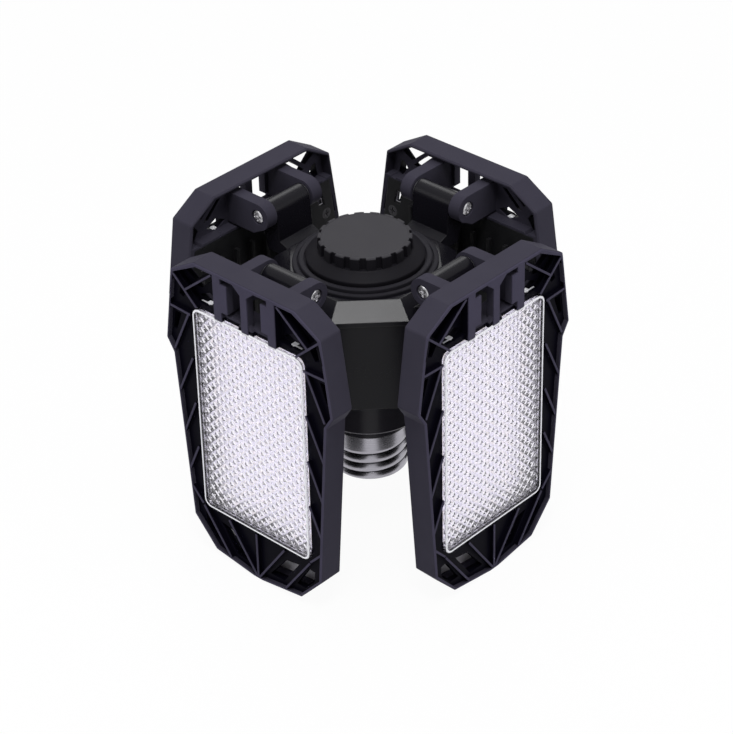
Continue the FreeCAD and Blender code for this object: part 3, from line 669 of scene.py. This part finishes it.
# a tube whose radius dips along a right-hand helix, between bands that bulge as half circles: the
# dip is 1 less the circle's height where a point is near the groove, in pitches, and it fades out
# under the plain skirt and at the foot. The foot turns in, and the wall's inside, with every
# second row, leads back up. The dip is kept at the vertices as the attribute groove
def screwShell(size):
    angles = np.arange(size["steps"]) * 2 * np.pi / size["steps"]
    up = np.linspace(size["top"], size["foot"], size["rows"])[:, None]
    turns = (angles - np.radians(size["facing"])) / (2 * np.pi)
    phase = (up - size["groove"]) / size["pitch"] - turns
    near = 1 - 2 * abs(phase - np.round(phase))
    dip = 1 - np.sqrt(1 - near ** 2)
    high, low = size["fade"]
    dip *= np.clip((high - up) / (high - low), 0, 1)
    dip *= np.clip((up - size["foot"]) / size["footFade"], 0, 1)
    outer = size["radius"] - size["depth"] * dip
    inner = outer[::-2] - size["wall"]
    foot = np.array(size["turnIn"]) * mm
    radius = np.vstack([outer, np.repeat(foot[:, :1], len(angles), axis=1), inner])
    height = np.concatenate([up[:, 0], foot[:, 1], up[::-2, 0]])
    axis = np.column_stack([np.zeros(len(height)), height])   # the whole radius is a shift from it
    surface = turnedSurface(axis, angles, radius, looped=True)
    # the groove attribute darkens the thread in the shell's material, as painted shade
    groove = np.zeros(radius.shape)
    groove[:len(dip)] = dip
    piece = makePiece("threadedShell", [surface], size["sharp"], {"groove": groove.ravel()})
    dress(piece, "hub", "shell_nickel", ["screw_shell"])


screwShell(shellSize)
print("shell made")


screwSize = {"radius": 2.3 * mm, "under": 11.7 * mm, "face": 13.0 * mm, "edge": 12.55 * mm,
             "shank": 1.5 * mm, "end": 3.0 * mm, "lip": 0.1 * mm, "out": 36.5 * mm, "up": 107.3 * mm,
             "armWide": 0.16, "armLong": 0.62, "slope": 0.05, "between": (0.3, 0.45),
             "beyond": (0.82, 0.93, 1.0), "bulge": 1.5, "deep": 0.75 * mm, "rise": 0.55, "sharp": 30}


# the head is a square grid drawn onto a disc, x = u sqrt(1 - v v / 2) and y = v sqrt(1 - u u / 2),
# raised as a low dome and sunk along two crossing arms, whose floors rise away from the middle.
# Rings close it round a plain shank. The grid's lines, as shares of the radius, stand at the arms'
# sides and ends and at the top of the slope beside them, between the two and beyond both
def hingeScrews(side, size):
    arm, reach, slope = size["armWide"], size["armLong"], size["slope"]
    lines = np.array([0, arm / 2, arm, arm + slope, *size["between"], reach, reach + slope, *size["beyond"]])
    lines = np.concatenate([-lines[:0:-1], lines])
    u, v = np.meshgrid(lines, lines)
    x, y = u * np.sqrt(1 - v * v / 2), v * np.sqrt(1 - u * u / 2)
    reachSquared = np.clip(x * x + y * y, 0, 1)
    dome = size["edge"] + (size["face"] - size["edge"]) * (1 - reachSquared ** size["bulge"])
    first = (abs(u) <= arm) & (abs(v) <= reach)
    second = (abs(v) <= arm) & (abs(u) <= reach)
    sink = (first | second) * size["deep"] * (1 - size["rise"] * np.sqrt(reachSquared))
    numbers = np.arange(u.size).reshape(u.shape)
    head = np.stack([dome - sink, x * size["radius"], y * size["radius"]], axis=-1).reshape(-1, 3)
    border = borderOf(numbers)
    circle = head[border][:, 1:] / size["radius"]
    rings = [np.insert(circle * radius, 0, depth, axis=1) for radius, depth in
             [(size["radius"], size["under"] + size["lip"]), (size["radius"] - size["lip"], size["under"]),
              (size["shank"], size["under"]), (size["shank"], size["end"])]]
    points, faces = closeBehind(head, gridFaces(numbers).tolist(), border, rings)
    placed = points + [0, size["out"], size["up"]]
    parts = [(onSide(placed * [sign, 1, 1], side), faces) for sign in (-1, 1)]
    piece = makePiece("crossScrews_" + side, parts, size["sharp"])
    dress(piece, "hub", "screw_steel", ["hinge_screws_" + side])


for side in sides:
    hingeScrews(side, screwSize)
print("hinge screws made")


# white and world are strengths of light, and share is how much of the seen floor is plain white
stageLook = {"white": 1.0, "share": 0.95, "world": 0.35, "pale": tone(231, 231, 232),
             "cloud": tone(236, 236, 237), "clouds": (60 * mm,), "reach": 4.0, "below": 0.05 * mm,
             "middle": (0, 0, 0.07)}
# name: azimuth and elevation the light comes from in degrees, distance, width and height in metres,
# watts
lamps = {"overhead": (0, 90, 1.0, 0.9, 0.9, 4.2),
         "key": (-46.6, 65.5, 1.1, 0.28, 0.28, 5.2),
         "behind": (133.4, 40, 1.2, 0.7, 0.4, 2.6),
         "leftFill": (-110, 22, 1.2, 0.6, 0.5, 2.6),
         "rightFill": (16, 22, 1.2, 0.6, 0.5, 2.6)}


# 1 for rays that see the background directly, through the lens or in a reflection, else 0
def seenRays(paint):
    path = paint.node("LightPath")
    seen = path["Is Camera Ray"]
    for kind in ("Is Transmission Ray", "Is Glossy Ray"):
        seen = seen.larger(path[kind])
    return seen


# a wide level sheet just under the part. Where it is seen, most of it is an even white, and the
# rest, a matt floor, takes the shadows
def pourFloor(look):
    paint = Finish("paleFloor")
    pale = paint.mix(paint.grain(paint.place()[0], *look["clouds"]), look["pale"], look["cloud"])
    matt = paint.node("BsdfDiffuse", {}, {"Color": pale})[0]
    glow = paint.node("Emission", {}, {"Strength": look["white"]})[0]
    paint.output(paint.mixShader(seenRays(paint) * look["share"], matt, glow))
    reach = look["reach"]
    corners = [(-reach, -reach, 0), (reach, -reach, 0), (reach, reach, 0), (-reach, reach, 0)]
    mesh = bpy.data.meshes.new("studioFloor")
    mesh.from_pydata(corners, [], [(0, 1, 2, 3)])
    floor = bpy.data.objects.new("studioFloor", mesh)
    floor.location.z = -look["below"]
    bpy.context.scene.collection.objects.link(floor)
    mesh.materials.append(paint.material)


# an area lamp at a bearing and height angle, looking at the middle of the part
def hangLamp(name, middle, bearing, lift, distance, wide, tall, watts):
    bearing, lift = np.radians([bearing, lift])
    away = np.array([np.cos(lift) * np.cos(bearing), np.cos(lift) * np.sin(bearing), np.sin(lift)])
    data = bpy.data.lights.new(name, "AREA")
    data.shape = "RECTANGLE"
    data.size, data.size_y, data.energy = wide, tall, watts
    lamp = bpy.data.objects.new(name, data)
    side = np.array([-np.sin(bearing), np.cos(bearing), 0.0])
    matrix = Matrix(np.column_stack([side, np.cross(away, side), away]).tolist()).to_4x4()
    matrix.translation = np.array(middle) + away * distance
    lamp.matrix_world = matrix
    lamp.visible_camera = False
    bpy.context.scene.collection.objects.link(lamp)


# an even world: white where it is seen, and dimmer where it lights the part
def lightWorld(look):
    world = bpy.data.worlds.new("studioWorld")
    bpy.context.scene.world = world
    paint = Finish("studioWorld", world)
    strength = look["world"] + (look["white"] - look["world"]) * seenRays(paint)
    back = paint.node("Background", {}, {"Strength": strength})[0]
    paint.node("OutputWorld", {}, {"Surface": back})


pourFloor(stageLook)
lightWorld(stageLook)
for name, lamp in lamps.items():
    hangLamp(name, stageLook["middle"], *lamp)
bpy.context.scene.view_settings.view_transform = "Standard"
print("stage lit")
